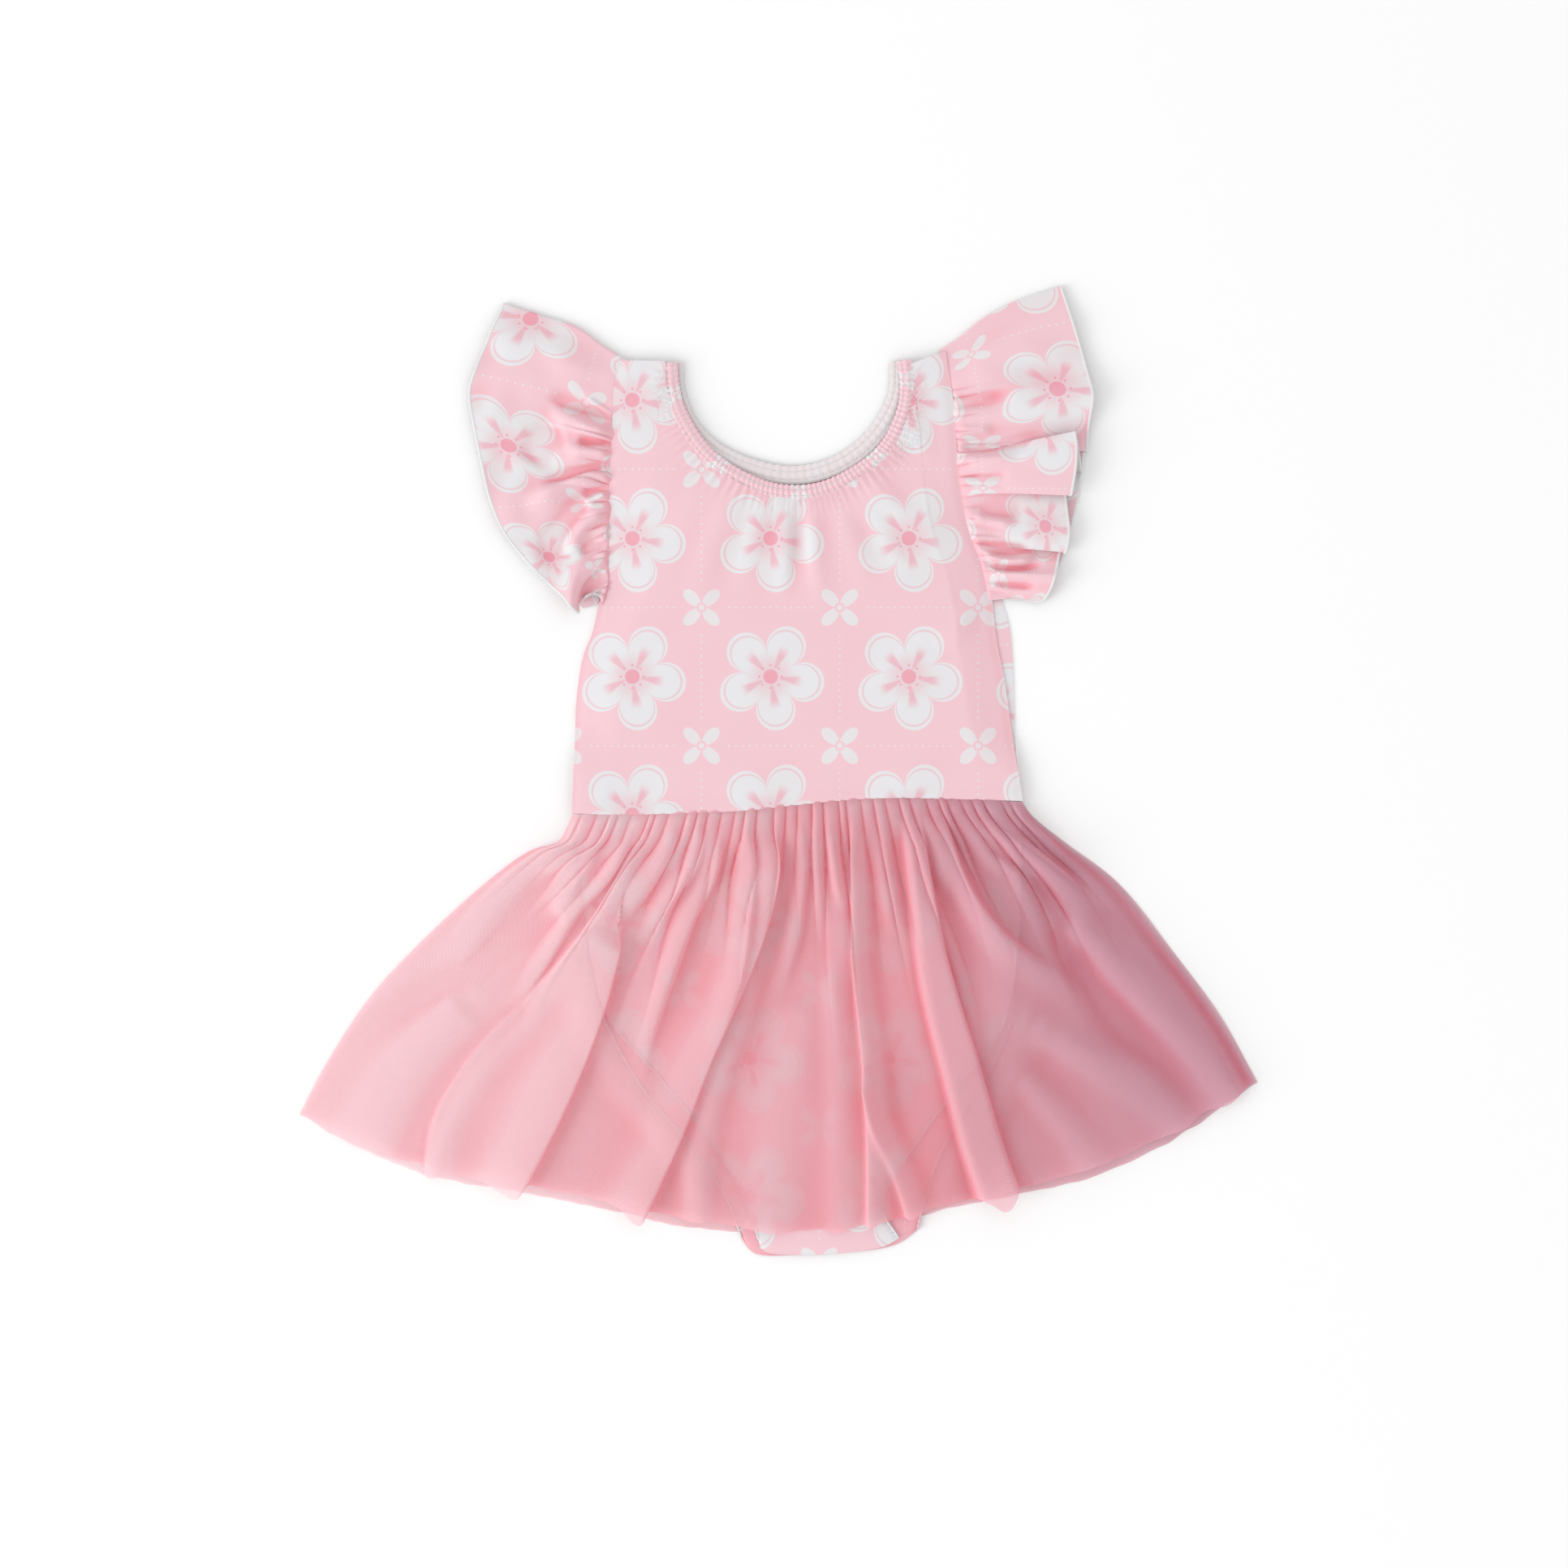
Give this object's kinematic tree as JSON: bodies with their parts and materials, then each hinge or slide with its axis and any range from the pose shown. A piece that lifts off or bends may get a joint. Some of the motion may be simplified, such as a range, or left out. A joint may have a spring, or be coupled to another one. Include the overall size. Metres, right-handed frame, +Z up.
{
  "type": "leotard with a gathered net skirt, laid flat",
  "caption": "Toddler's ballet leotard laid flat front up, with a shirred scoop neck, flutter sleeves and a gathered see-through net skirt over its brief.",
  "frame": {"origin": "middle of the footprint, on the surface that the garment lies on", "axes": "+Z up out of the front of the garment, +Y towards the neck, +X to the right as seen from above"},
  "size_m": [0.472, 0.4781, 0.0156],
  "materials": {
    "printed_knit": "smooth brushed stretch knit, pale pink with a white flower print and a slight sheen",
    "net": "matte fine stretch net, pink and see-through",
    "thread": "white overlock and coverstitch thread"
  },
  "bodies": {
    "root": {"bodice_front": "printed_knit", "bodice_back": "printed_knit", "neck_casing_front": "printed_knit", "neck_casing_back": "printed_knit", "sleeve_left": "printed_knit", "sleeve_right": "printed_knit", "brief_front": "printed_knit", "brief_back": "printed_knit", "skirt_front": "net", "skirt_back": "net"}
  },
  "joints": []
}
